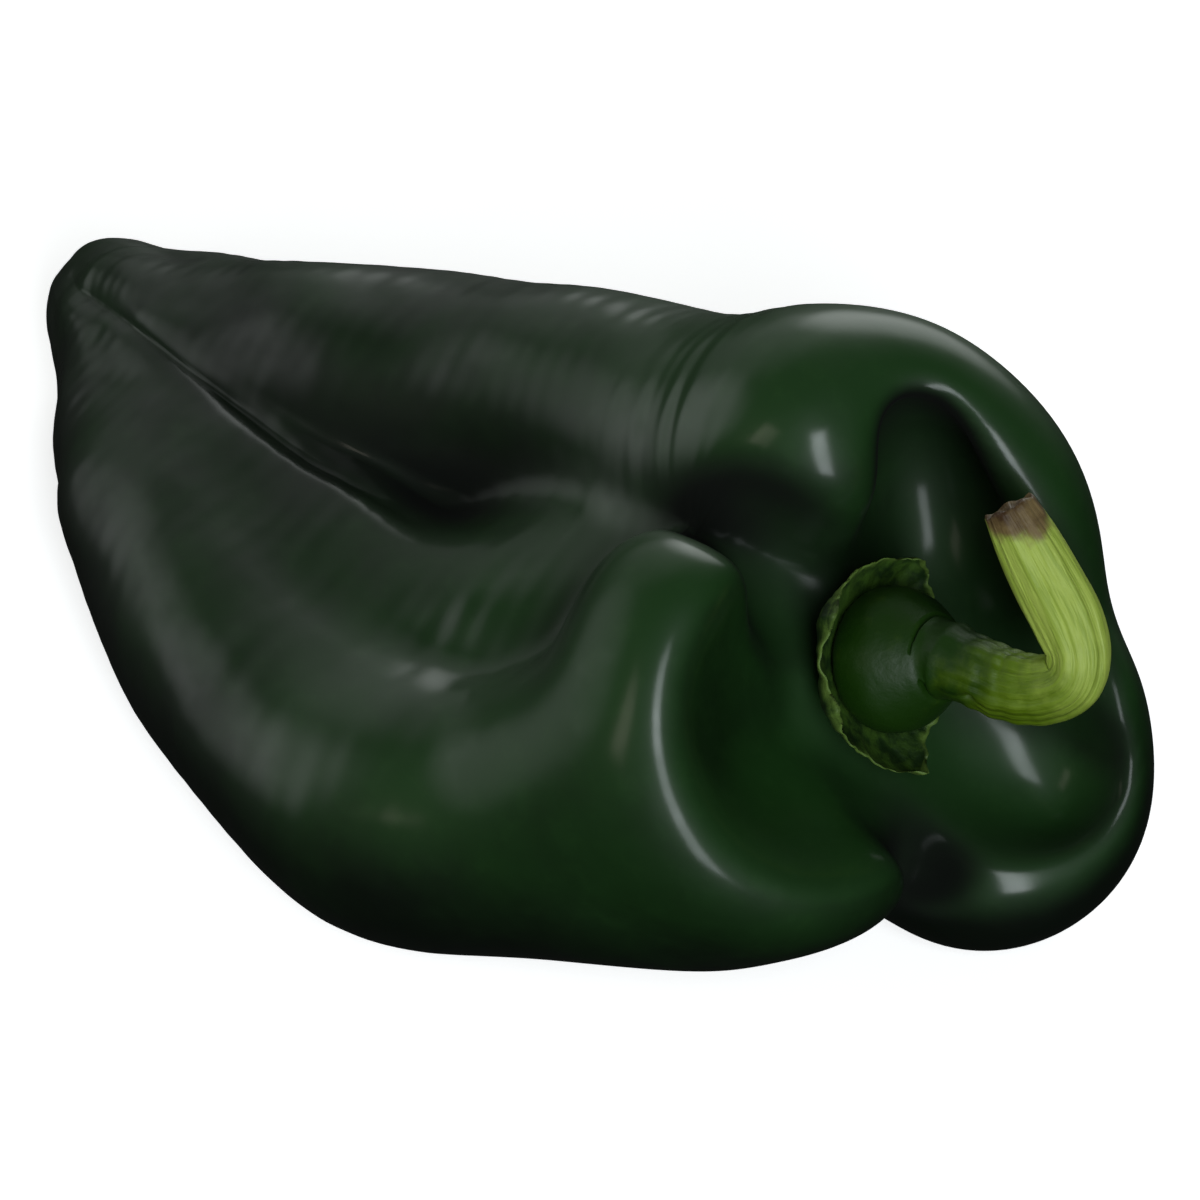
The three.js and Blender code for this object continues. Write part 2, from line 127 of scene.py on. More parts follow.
# ---------------------------------------------------------------------------
# Pod.  The fruit itself, one hollow body of thick flesh under a thin waxy skin.  It grew in four
# lobes that fold over each other at the stem end and run out to a small two-humped tip; where the
# lobes meet along the flank the skin is pinched into a sharp crease.
# ---------------------------------------------------------------------------
LOBES = [  # each lobe is a run of balls (x, y, z, radius) in mm, from the tip towards the stem
    # far ridge, and the far shoulder it swells into
    [(-60.5, 12, 11, 4), (-51, 9.5, 12.5, 6.5), (-39.5, 8.5, 16.5, 8.5), (-26.5, 11, 21, 10),
     (-12.5, 14.5, 24.5, 10.5), (2.5, 18, 29, 11), (16, 17.5, 33.5, 11)],
    [(16.5, 16.5, 34.5, 9.5), (22.5, 16.1, 38.1, 10), (26.6, 17.5, 40.7, 9.8), (27.9, 17.2, 37.8, 9)],
    # its outer lip, curling round to the right, and the wall behind the lip
    [(23.1, 18.5, 42.1, 8), (26.9, 22.1, 43.5, 6.6), (31.1, 25, 44, 6.2), (36, 26.5, 42.9, 5.5),
     (40.7, 27, 40.7, 5), (44.6, 26.2, 37.7, 4.8), (47.5, 24.3, 34, 4.7), (49, 22.3, 30.4, 4.4)],
    [(26.1, 24.5, 29.7, 10.2), (32.7, 27.1, 27.7, 8.7), (39.5, 26.6, 24.8, 8.3),
     (44.3, 23.9, 20.8, 8.3), (48.3, 21.6, 16.2, 8.5), (51.6, 19.2, 11.3, 8.3), (52.6, 15.3, 7.4, 7.8)],
    [(25.6, 24, 37, 8.5), (30.1, 26.8, 36.4, 7.4), (34.9, 28.1, 35.2, 6.8), (39.5, 27.9, 33.1, 6.3),
     (43.2, 26.5, 29.9, 6.1), (45.8, 24, 26.7, 6), (49.7, 22.6, 22.9, 5.5), (53.2, 21.8, 18.9, 5.5),
     (55.5, 19.6, 14.7, 5.6), (55.8, 17.3, 10.3, 6)],
    # near ridge
    [(-61.6, 10, 8.2, 3.2), (-57, 8, 8.2, 4.6), (-48, 2.6, 9.3, 7.1), (-40.6, -3.2, 10.2, 8.6),
     (-28, -11.5, 11.5, 11), (-9, -20.5, 12, 11.5), (9.5, -23, 13, 13), (25.5, -18, 16.5, 11.5),
     (41, -10.5, 18, 10.5)],
    # near shoulder, and its crest curling round under the stem
    [(25.5, -18, 21, 11), (31.5, -13.5, 29, 10), (30.2, -4.8, 37.8, 8.6)],
    [(30.5, -5.3, 37.6, 8.4), (32.7, -6.6, 36.5, 8.2), (34.5, -10, 33.4, 8.6), (37, -13.3, 29.4, 8.8),
     (40.6, -14.2, 25.6, 8.7), (45.2, -12, 23.1, 8.2), (48.2, -8, 22, 7.5), (49.5, -2.8, 20.9, 6.8)],
    # flat flank between the two ridges
    [(-40, 3, 10.5, 8.5), (-20.5, -4, 13, 10.5), (-4, -7.5, 14.5, 10.5), (11, -4.5, 18, 11),
     (18.5, -1, 21, 9.5)],
    # middle, under the seat of the calyx
    [(7, 3.5, 17, 10.5), (18, 6, 21, 12), (29.1, 6.3, 22.5, 14), (36.4, 10, 20.4, 11)],
    [(9.5, 1, 15.5, 10.5), (37, 4, 15.5, 11), (45.5, 8.5, 13, 8.5), (53, 10.5, 9.5, 7.5)],
    # right shoulder, from the far lip round to the bottom
    [(51.8, 18.6, 29.6, 4.6), (54.7, 20.3, 27.1, 4.4), (57.5, 20.1, 23.3, 4.4),
     (59.5, 18.6, 18.5, 4.6), (60, 16.4, 14, 5), (58.8, 13.3, 11.1, 5.8), (55.7, 10.4, 9.6, 6.8),
     (51.4, 8.1, 9.9, 7.2)],
    # back ridge
    [(-51, 10, 9, 5.5), (-35, 12.5, 11.5, 9), (-13, 17, 12, 12.5), (10, 20.5, 14, 14),
     (32, 21.5, 15.5, 13.5), (48, 17, 15, 10)],
]
HOLLOWS = [  # the sunken stem end and the furrows that run out of it between the lobes
    [(51, 8.8, 35.9, 11), (56, 9.3, 39, 13)],
    [(51, -5, 40.7, 13.8), (52, -4.9, 40.2, 13.8)],
    [(46.3, 15.4, 33.3, 5), (41.3, 18.7, 34.4, 5), (37.2, 21.9, 38.3, 4.6), (34.9, 21.4, 45.4, 2.5)],
    [(51, 10.5, 33, 4.5), (55.5, 13.6, 30.7, 6), (56.1, 20.7, 36, 2)],
    [(49, 1, 27, 3), (53.5, 0, 23, 2), (55, 0, 15, 1)],
    [(39, 3.5, 37.5, 3.5), (35.4, 4.8, 38.1, 3), (32, 3.8, 40.9, 2.5), (28.6, 1.9, 43.7, 1.7)],
    [(51.2, 6, 29.7, 4), (54.1, 9.8, 24.2, 5), (57.5, 12.5, 22.1, 5), (60.3, 14.8, 20.7, 3)],
]
BALL_SOFTNESS, LOBE_SOFTNESS, HOLLOW_SOFTNESS, SKIN_TRIM = 1.4, 1.8, 2.6, 0.9
SEAT = np.array([41.6, 7.7, 30.1])
STEM_AXIS = np.array([0.85, 0.1, 0.517]) / np.linalg.norm([0.85, 0.1, 0.517])
TIP_AXIS = np.array([0.97, -0.2, 0.15])
CENTRING = np.array([-0.54, -0.76, 0.0])    # puts the middle of the pepper's box on the frame's origin
GUIDE_RINGS = np.array([(-64.5, 11, 9.5, 0.4), (-60, 10, 10, 7), (-49, 6.5, 13, 12), (-31, 2, 17, 20),
                        (-10.5, 0, 20, 27), (10, 0, 22, 31), (28, 3, 24, 34), (41, 7, 27, 34)])
OUTER_SHARE = 0.74   # share of the rings on the outside; the rest turn in over the bowl
BOWL_ARCH = 12       # how high the turned-in rings start above the seat, mm
RING_COUNT, POINTS_ROUND = 40, 36    # before the rings are made finer
EVENING, LONGEST_STEP, LEAST_STEEPNESS = 0.4, 2.0, 0.2
TINY = 1e-9


def smooth_run(knots, per_step):
    """Catmull-Rom curve through the knots: p(t) is the cubic with the knots' central slopes."""
    k = np.asarray(knots, float)
    k = np.vstack([2 * k[:1] - k[1:2], k, 2 * k[-1:] - k[-2:-1]])
    t = (np.arange(per_step) / per_step)[None, :, None]
    a, b, c, d = (k[i:len(k) - 3 + i, None] for i in range(4))
    cubic = b + 0.5 * t * (c - a + t * (2 * a - 5 * b + 4 * c - d + t * (3 * (b - c) + d - a)))
    return np.vstack([cubic.reshape(-1, k.shape[1]), k[-2:-1]])


def soft_least(distance, slope, softness):
    """-s * log(sum exp(-d / s)) over the first axis, and the slopes blended by the same weights."""
    least = distance.min(0)
    weight = np.exp((least - distance) / softness)
    total = weight.sum(0)
    return least - softness * np.log(total), (weight[..., None] * slope).sum(0) / total[:, None]


def over_runs(points, runs):
    """Distance to the skin drawn over several runs of balls, softly joined."""
    found = []
    for run in runs:
        away = points[None] - run[:, None, :3]
        gap = np.sqrt((away * away).sum(-1))
        found.append(soft_least(gap - run[:, 3:4], away / gap[..., None], BALL_SOFTNESS))
    return soft_least(np.array([f[0] for f in found]) + SKIN_TRIM, np.array([f[1] for f in found]),
                      LOBE_SOFTNESS)


lobe_runs = [smooth_run(run, 5) for run in LOBES]
hollow_runs = [smooth_run(run, 4) for run in HOLLOWS]


def pod_skin(points):
    """Signed distance from the pod's skin: inside the lobes and outside the hollows is negative."""
    flesh, flesh_slope = over_runs(points, lobe_runs)
    hollow, hollow_slope = over_runs(points, hollow_runs)
    value, slope = soft_least(np.array([-flesh, hollow]), np.array([-flesh_slope, hollow_slope]),
                              HOLLOW_SOFTNESS)
    return -value, -slope


def loose_rings():
    """Rings of radius r(u) about a centre c(u), from the tip out to the shoulders and then in again."""
    u = np.linspace(0, 1, RING_COUNT)
    along = np.clip(u / OUTER_SHARE, 0, 1)
    knots = np.linspace(0, 1, len(GUIDE_RINGS))
    guide = np.stack([np.interp(along, knots, GUIDE_RINGS[:, k]) for k in range(4)], -1)
    turned = np.clip((u - OUTER_SHARE) / (1 - OUTER_SHARE), 0, 1)[:, None]
    centre = guide[:, :3] * (1 - turned) + SEAT * turned + STEM_AXIS * BOWL_ARCH * np.sin(turned * np.pi)
    radius = guide[:, 3] * (1 - turned[:, 0])
    lean = along[:, None] ** 2
    facing = (1 - lean) * TIP_AXIS + lean * STEM_AXIS
    facing /= np.linalg.norm(facing, axis=1, keepdims=True)
    up = np.array([0, 0, 1.0]) - facing * facing[:, 2:3]
    up /= np.linalg.norm(up, axis=1, keepdims=True)
    side = np.cross(facing, up)
    angle = np.arange(POINTS_ROUND) / POINTS_ROUND * 2 * np.pi
    return centre[:, None] + radius[:, None, None] * (
        np.cos(angle)[None, :, None] * up[:, None] + np.sin(angle)[None, :, None] * side[:, None])


def settled(grid, rounds):
    """Each round steps by -d * slope / |slope|^2 onto the skin and slides towards the mean of the
    four neighbours, the far ones weighing more, so that the rings lie evenly spread."""
    for _ in range(rounds):
        distance, slope = pod_skin(grid.reshape(-1, 3))
        steep = (slope * slope).sum(-1)
        step = -(distance / np.maximum(steep, LEAST_STEEPNESS))[:, None] * slope
        length = np.linalg.norm(step, axis=1, keepdims=True)
        step *= np.minimum(1, LONGEST_STEP / np.maximum(length, TINY))
        outward = (slope / np.sqrt(np.maximum(steep, TINY))[:, None]).reshape(grid.shape)
        pull, weight = 0, TINY
        for near in (np.roll(grid, 1, 1), np.roll(grid, -1, 1), np.vstack([grid[:1], grid[:-1]]),
                     np.vstack([grid[1:], grid[-1:]])):
            edge = near - grid
            share = np.linalg.norm(edge, axis=-1, keepdims=True)
            pull, weight = pull + share * edge, weight + share
        pull /= weight
        pull -= (pull * outward).sum(-1, keepdims=True) * outward
        pull[0] = pull[-1] = 0
        grid = grid + step.reshape(grid.shape) + EVENING * pull
        grid[0], grid[-1] = grid[0].mean(0), grid[-1].mean(0)
    return grid


def finer(grid):
    """Twice the points both ways; a new one is (-a + 9b + 9c - d) / 16 of the four about it."""
    mid = (9 * grid + 9 * np.roll(grid, -1, 1) - np.roll(grid, 1, 1) - np.roll(grid, -2, 1)) / 16
    grid = np.stack([grid, mid], 2).reshape(len(grid), -1, 3)
    wide = np.vstack([2 * grid[:1] - grid[1:2], grid, 2 * grid[-1:] - grid[-2:-1]])
    mid = (9 * wide[1:-2] + 9 * wide[2:-1] - wide[:-3] - wide[3:]) / 16
    doubled = np.empty((2 * len(grid) - 1,) + grid.shape[1:])
    doubled[::2], doubled[1::2] = grid, mid
    return doubled


def grid_normals(grid):
    """Cross product of the central differences along and round the rings."""
    along = np.gradient(grid, axis=0)
    round_ = np.roll(grid, -1, 1) - np.roll(grid, 1, 1)
    normal = np.cross(round_, along)
    return normal / np.maximum(np.linalg.norm(normal, axis=-1, keepdims=True), TINY)


def closed_mesh(name, grid, start=None, end=None):
    """Smooth mesh of n rings of m points in mm, closed at both ends by a fan of triangles to one
    point, which is the mean of the end ring where none is given."""
    n, m = grid.shape[:2]
    start = grid[0].mean(0) if start is None else start
    end = grid[-1].mean(0) if end is None else end
    points = np.vstack([grid.reshape(-1, 3), start, end]) * MM
    i, j = np.meshgrid(np.arange(n - 1), np.arange(m), indexing="ij")
    a, b = (i * m + j).ravel(), (i * m + (j + 1) % m).ravel()
    quads = np.stack([a, b, b + m, a + m], -1)
    k = np.arange(m)
    start_fan = np.stack([np.full(m, n * m), (k + 1) % m, k], -1)
    end_fan = np.stack([np.full(m, n * m + 1), (n - 1) * m + k, (n - 1) * m + (k + 1) % m], -1)
    mesh = bpy.data.meshes.new(name)
    mesh.from_pydata(points.tolist(), [], quads.tolist() + start_fan.tolist() + end_fan.tolist())
    first, second, third = (points[quads[:, k]] for k in range(3))
    if (first * np.cross(second, third)).sum() < 0:    # the volume comes out negative: inside out
        mesh.flip_normals()
    mesh.update()
    mesh.shade_smooth()
    piece = bpy.data.objects.new(name, mesh)
    bpy.context.scene.collection.objects.link(piece)
    return piece


def to_path(points, knots):
    """Nearest distance from each point to a bent line through the knots, and how far along it (0 to 1)."""
    line = smooth_run(knots, 6)
    best, place = np.full(len(points), 1e9), np.zeros(len(points))
    for k in range(len(line) - 1):
        step = line[k + 1] - line[k]
        t = np.clip(((points - line[k]) @ step) / (step @ step), 0, 1)
        gap = np.linalg.norm(points - line[k] - t[:, None] * step, axis=1)
        closer = gap < best
        best, place = np.where(closer, gap, best), np.where(closer, (k + t) / (len(line) - 1), place)
    return best, place


rings = settled(loose_rings(), 90)
for rounds in (40, 8):
    rings = settled(finer(rings), rounds)
rings = finer(rings)
points = rings.reshape(-1, 3)
outward = grid_normals(rings)
if (outward * (rings - rings.mean((0, 1)))).sum() < 0:
    outward = -outward
outward = outward.reshape(-1, 3)


def ripples(u, v, along, round_, count, seed):
    """Sum of `count` sine waves sin(2 pi (f u + g v) + phase): f up to `along`, g whole and up to
    `round_`, so that it closes round the pod.  Divided by sqrt(count / 2), so it varies by about 1."""
    draw = np.random.default_rng(seed)
    f = draw.uniform(0.35, 1, count) * along * draw.choice([-1, 1], count)
    g = draw.integers(0, round_ + 1, count)
    phase = draw.uniform(0, 2 * np.pi, count)
    waves = np.sin(2 * np.pi * (u[:, None] * f + v[:, None] * g) + phase)
    return waves.sum(1) / math.sqrt(count / 2)


def bell(points, centre, reach):
    """exp(-(distance / reach)^2) round a point."""
    return np.exp(-((points - np.array(centre)) ** 2).sum(-1) / reach ** 2)


u, v = (w.ravel() for w in np.meshgrid(np.linspace(0, 1, len(rings)),
                                       np.arange(rings.shape[1]) / rings.shape[1], indexing="ij"))
# 1 on the tapering body, 0 on the shoulders and at the very tip.
body = np.clip((24 - points[:, 0]) / 16, 0, 1) * np.clip((points[:, 0] + 66) / 12, 0, 1)

# The main crease, pinched sharp between raised lips, from the scar at the tip along the flank, with
# a faint fold above it.
CREASE = [(-61, 7, 15), (-58.4, 5.3, 16.3), (-52.1, 3.2, 19.1), (-44.3, 0.9, 21.7),
          (-35.9, -0.8, 23.1), (-28.3, -1.7, 23.7), (-20.8, -2.7, 24.3), (-14.3, -2.7, 24.5),
          (-7.8, -2.8, 24.8), (-1.1, -4.5, 26.8)]
CREASE_DEPTH, CREASE_WIDTH = 1.3, 1.3
LIP_HEIGHT, LIP_WIDTH = 1.3, 6
UPPER_FOLD = [(-32.3, 0.6, 24.9), (-24.5, 0, 24.8), (-17.9, 0, 24.4), (-11.9, 2, 24), (-6.7, 3.4, 23.5)]
FOLD_DEPTH, FOLD_WIDTH = 0.5, 1.2
gap, place = to_path(points, CREASE)
raised = LIP_HEIGHT * np.exp(-(gap / LIP_WIDTH) ** 2)
raised *= np.clip((0.85 - place) / 0.3, 0, 1) * np.clip(place / 0.12, 0.3, 1)
depth = CREASE_DEPTH * np.clip(place / 0.15, 0.3, 1) * np.clip((1 - place) / 0.3, 0, 1)
moved = raised - depth * np.exp(-gap / CREASE_WIDTH)
fold_gap, place = to_path(points, UPPER_FOLD)
moved -= FOLD_DEPTH * np.sin(np.pi * place) * np.exp(-fold_gap / FOLD_WIDTH)

# Broad unevenness of the body, and girth-wise puckers in the trough before the shoulders.
UNEVENNESS = [(0.20, 7, 9, 18, 3), (0.04, 14, 22, 20, 5), (0.012, 75, 9, 16, 11)]    # height, ripples
TROUGH = [(17.9, 17.3, 50.4), (15.5, 12.8, 47.7), (15, 8.3, 44.1), (15.5, 5.5, 40), (15.2, 2.9, 34.9),
          (13.9, -4.3, 31.6), (9.8, -12.7, 27.3), (6.9, -22.3, 26.5), (3.7, -30.1, 23.8)]
TROUGH_FLOOR, TROUGH_SIDE = 2, 9     # half width of its floor and reach of its sides, mm
for height, *waves in UNEVENNESS:
    moved += body * height * ripples(u, v, *waves)
moved += (1 - body) * 0.10 * ripples(u, v, 7, 4, 10, 21)
gap, place = to_path(points, TROUGH)
near_trough = np.exp(-(np.maximum(gap - TROUGH_FLOOR, 0) / TROUGH_SIDE) ** 2)
pucker = 0.02 + 0.015 * ripples(u, v, 6, 5, 8, 9)
moved += near_trough * pucker * ripples(u, v, 64, 6, 22, 8)

# Bulges on the near flank by the tip, a dent in the right shoulder and a few pits under the far one.
BUMPS = [(0.45, (-51, -7.4, 12.3), 5), (-0.5, (-45, -11, 13.5), 4), (0.5, (-40.2, -14.8, 16.9), 5),
         (-1.0, (59.5, 14, 17), 3), (-0.35, (32.6, 8.2, 42.4), 0.9), (-0.35, (33.5, 8.9, 41.2), 0.9),
         (-0.35, (31.6, 8, 40), 0.9), (-0.35, (34.5, 9, 43.5), 0.9)]    # height, centre, reach in mm
for height, centre, bump_reach in BUMPS:
    moved += height * bell(points, centre, bump_reach)

# The skin is greener towards the shoulders. Painted light greens it where it faces up or stands high,
# and painted shade darkens it to near black where it faces down and along the fold above the crease.
shoulders = np.clip((points[:, 0] + 8) / 34, 0, 1)
raised_part = np.clip((points[:, 2] - 10) / 14, 0, 1)
greenness_and_painted_light = np.clip(outward[:, 2] / 0.8, 0.6 * shoulders * raised_part, 1)
greenness_and_painted_light *= (0.42 + 0.58 * shoulders) * (1 - 0.6 * np.exp(-(fold_gap / 8) ** 2))

# How open the skin is to the room, 0 deep in a fold and 1 on the outside. The skin uses it for painted shade
# in folds, and for less gloss there.
LOOK_OUT = (3.0, 6.0, 11.0)     # how far out from the skin it is felt for, mm
openness = np.ones(len(points))
for away in LOOK_OUT:
    free, _ = pod_skin(points + outward * away)
    openness -= np.clip((away - free) / away, 0, 1) / len(LOOK_OUT)

points = points + outward * moved[:, None] + CENTRING
points[:, 2] = np.maximum(points[:, 2], 0)
pod = closed_mesh("pod_skin", points.reshape(rings.shape)[1:-1], points[0], points[-1])


def add_values(piece, name, values):
    """Stores one number per point of the mesh under a name, for the piece's material."""
    piece.data.attributes.new(name, "FLOAT", "POINT").data.foreach_set("value", values)


m = rings.shape[1]
for name, values in (("open", openness), ("trough", near_trough), ("green", greenness_and_painted_light)):
    add_values(pod, name, np.concatenate([values[m:-m], values[:1], values[-1:]]))


class Sock:
    """A shader socket; adding, taking away or multiplying adds a Math node, on either side of it."""

    def __init__(self, tree, socket):
        self.tree, self.socket = tree, socket

    def _math(self, operation, *values):
        return self.tree.node("ShaderNodeMath", {"operation": operation}, dict(enumerate(values)))

    def __add__(self, other):
        return self._math("ADD", self, other)

    def __radd__(self, other):
        return self._math("ADD", other, self)

    def __sub__(self, other):
        return self._math("SUBTRACT", self, other)

    def __rsub__(self, other):
        return self._math("SUBTRACT", other, self)

    def __mul__(self, other):
        return self._math("MULTIPLY", self, other)

    def __rmul__(self, other):
        return self._math("MULTIPLY", other, self)


class Shader:
    """A material on one Principled shader; node() adds any node and gives back its output."""

    def __init__(self, name):
        self.material = bpy.data.materials.new(name)
        self.material.use_nodes = True
        self.tree = self.material.node_tree
        self.surface = self.tree.nodes["Principled BSDF"]
        self.place = self.node("ShaderNodeTexCoord", output="Object")

    def node(self, kind, settings=None, values=None, output=0):
        """Adds a node of a kind, with its settings and its input values or links."""
        node = self.tree.nodes.new(kind)
        for key, value in (settings or {}).items():
            setattr(node, key, value)
        for key, value in (values or {}).items():
            if isinstance(value, Sock):
                self.tree.links.new(value.socket, node.inputs[key])
            else:
                node.inputs[key].default_value = value
        return Sock(self, node.outputs[output])

    def stored(self, name):
        """A number stored on the mesh's points."""
        return self.node("ShaderNodeAttribute", {"attribute_name": name}, None, "Fac")

    def noise(self, scale, detail=2, roughness=0.5, where=None):
        """Noise between 0 and 1 over the given place; scale is in blotches per metre."""
        return self.node("ShaderNodeTexNoise", None, {"Vector": where or self.place, "Scale": scale,
                                                      "Detail": detail, "Roughness": roughness})

    def between(self, value, low, high):
        """Smooth step of a value: 0 below low, 1 above high."""
        return self.node("ShaderNodeMapRange", {"interpolation_type": "SMOOTHSTEP"},
                         {"Value": value, "From Min": low, "From Max": high})

    def blend(self, mask, first, second):
        """Colour mix: first where the mask is 0, second where it is 1."""
        return self.node("ShaderNodeMix", {"data_type": "RGBA"}, {0: mask, 6: first, 7: second}, 2)

    def bump(self, height, strength, distance, below=None):
        """Normal tipped by the slope of height, which is worth `distance` metres, over one below."""
        values = {"Height": height, "Strength": strength, "Distance": distance}
        if below is not None:
            values["Normal"] = below
        return self.node("ShaderNodeBump", None, values)

    def finish(self, **sockets):
        """Sets or links the Principled shader's sockets, named with _ for a space."""
        for key, value in sockets.items():
            socket = self.surface.inputs[key.replace("_", " ")]
            if isinstance(value, Sock):
                self.tree.links.new(value.socket, socket)
            else:
                socket.default_value = value
        return self.material


# BLACK_GREEN serves both the dark skin and painted shade, LEAF_GREEN both the green skin and painted light;
# the fold colour is painted shade.
BLACK_GREEN, LEAF_GREEN = (0.0012, 0.0040, 0.0010, 1), (0.0088, 0.042, 0.0060, 1)
SPECK_GREEN, PAINTED_FOLD_SHADE = (0.018, 0.066, 0.012, 1), (0.0005, 0.0018, 0.0004, 1)
skin = Shader("poblano_skin")
mottle = skin.noise(70, 4, 0.55)
fine = skin.noise(420, 3, 0.6)
opened = skin.between(skin.stored("open"), 0.24, 0.85)
# Painted light and shade: the stored greenness picks between BLACK_GREEN and LEAF_GREEN.
green_tone_and_painted_light = skin.between(skin.stored("green") + (mottle - 0.5) * 0.8, 0.0, 1.0)
skin_colour = skin.blend(green_tone_and_painted_light, BLACK_GREEN, LEAF_GREEN)
skin_colour = skin.blend(skin.between(fine, 0.5, 0.75) * 0.2 * green_tone_and_painted_light, skin_colour, SPECK_GREEN)
# Painted shade: deep in folds and hollows the colour goes to near black.
skin_colour = skin.blend(opened, PAINTED_FOLD_SHADE, skin_colour)
glossy_patches = skin.between(skin.noise(52, 4, 0.6), 0.42, 0.60)
waves = skin.noise(130, 2, 0.5)
pores = skin.noise(1500, 2, 0.5)
relief = skin.bump(pores, 0.10, 0.0001, skin.bump(waves, 0.22, 0.0012))
pod.data.materials.append(skin.finish(
    Base_Color=skin_colour, Roughness=0.95 - opened * (0.45 - mottle * 0.16), Normal=relief,
    Specular_IOR_Level=0.25, Coat_Roughness=0.19, Coat_IOR=1.45,
    Coat_Weight=opened * (glossy_patches * 0.3 + skin.stored("trough") * 0.3 + 0.34)))
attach(pod, "root")
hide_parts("pod")

# ---------------------------------------------------------------------------
# Calyx.  The dried-up cup of the flower: a thin green collar with five corners that lies in the
# sunken stem end, its edge lifted, crinkled and turned in.  It grew joined to the stem's foot.
# ---------------------------------------------------------------------------
level_way = np.cross([0, 0, 1.0], STEM_AXIS)     # level and square to the stem's axis
level_way /= np.linalg.norm(level_way)
upper_way = np.cross(STEM_AXIS, level_way)
CORNERS = [(0.67, 10.8), (2.11, 12.3), (2.9, 11.8), (4.26, 12.0), (5.3, 9.6)]   # turn, reach in mm
HOLLOW_SIDE = 2.1                   # how far a side between two corners is drawn in, mm
RAGGED_EDGE = [(7, 0.12), (13, 0.10), (29, 0.07), (53, 0.05)]    # waves round the edge, height in mm
CRINKLES = [(9, 1), (17, -1.4), (31, 0.8)]                       # waves round the leaf, and their slant
CRINKLE_HEIGHT = 0.09
UNDERSIDE, DISH = -0.9, 0.022       # height of the middle, and how fast the leaf rises outwards, 1/mm
EDGE_START, EDGE_LIFT, CORNER_LIFT = 0.62, 1.5, 1.3
CURLED_START, CURLED_IN = 0.9, 1.1  # the corners' ends curl inwards
MIDDLE_THICK, THINNED_BY = 1.2, 0.85
CALYX_RINGS, CALYX_POINTS = 34, 240

turn = np.arange(CALYX_POINTS) / CALYX_POINTS * 2 * np.pi
corner_turn, corner_reach = np.array(CORNERS + [(CORNERS[0][0] + 2 * np.pi, CORNERS[0][1])]).T
unrolled = np.where(turn < corner_turn[0], turn + 2 * np.pi, turn)
side_number = np.clip(np.searchsorted(corner_turn, unrolled, side="right") - 1, 0, len(CORNERS) - 1)
across_side = (unrolled - corner_turn[side_number]) / np.diff(corner_turn)[side_number]
bow = np.sin(np.pi * across_side)                # 0 at a corner, 1 in the middle of a side
draw = np.random.default_rng(17)
ragged = sum(np.sin(count * turn + draw.uniform(0, 6.28)) * height for count, height in RAGGED_EDGE)
leaf_reach = np.interp(unrolled, corner_turn, corner_reach) - HOLLOW_SIDE * bow + ragged

# share is the part of the reach, t the turn about the stem's axis, r the radius in mm.
share, t = np.meshgrid(np.linspace(0.03, 1, CALYX_RINGS), turn, indexing="ij")
r = share * leaf_reach
corner = 1 - bow
edge = np.clip((share - EDGE_START) / (1 - EDGE_START), 0, 1)
crinkle = sum(np.sin(count * t + slant * share * 6 + draw.uniform(0, 6.28)) for count, slant in CRINKLES)
lift = UNDERSIDE + DISH * r ** 2 + edge ** 2 * (EDGE_LIFT + CORNER_LIFT * corner)
lift += edge * CRINKLE_HEIGHT * crinkle
r = r - CURLED_IN * corner * np.clip((share - CURLED_START) / (1 - CURLED_START), 0, 1) ** 2
thick = MIDDLE_THICK - THINNED_BY * share ** 0.7
under, over = np.stack([r, t, lift], -1), np.stack([r, t, lift + thick], -1)
r, t, h = np.moveaxis(np.vstack([under, over[::-1]])[..., None], 2, 0)
calyx = closed_mesh("calyx_collar", SEAT + CENTRING + h * STEM_AXIS
                    + r * (np.cos(t) * level_way + np.sin(t) * upper_way))
add_values(calyx, "edge", np.append(np.vstack([edge, edge[::-1]]), [0, 0]))

CALYX_DARK, CALYX_GREEN = (0.006, 0.024, 0.002, 1), (0.035, 0.085, 0.006, 1)
RIM_PALE, DRY_BROWN = (0.11, 0.19, 0.03, 1), (0.16, 0.075, 0.02, 1)
leaf = Shader("calyx_leaf")
leaf_mottle = leaf.noise(350, 4, 0.6)
at_rim = leaf.between(leaf.stored("edge") + leaf_mottle * 0.5 - 0.25, 0.80, 1.05)
dry_spots = leaf.between(leaf.noise(160, 2, 0.5), 0.66, 0.74)
leaf_colour = leaf.blend(leaf.between(leaf_mottle, 0.38, 0.62), CALYX_DARK, CALYX_GREEN)
leaf_colour = leaf.blend(at_rim, leaf_colour, RIM_PALE)
leaf_colour = leaf.blend(dry_spots, leaf_colour, DRY_BROWN)
calyx.data.materials.append(leaf.finish(
    Base_Color=leaf_colour, Roughness=0.5 + leaf_mottle * 0.2, Specular_IOR_Level=0.4,
    Normal=leaf.bump(leaf_mottle, 0.5, 0.0006)))
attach(calyx, "root")
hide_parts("calyx")

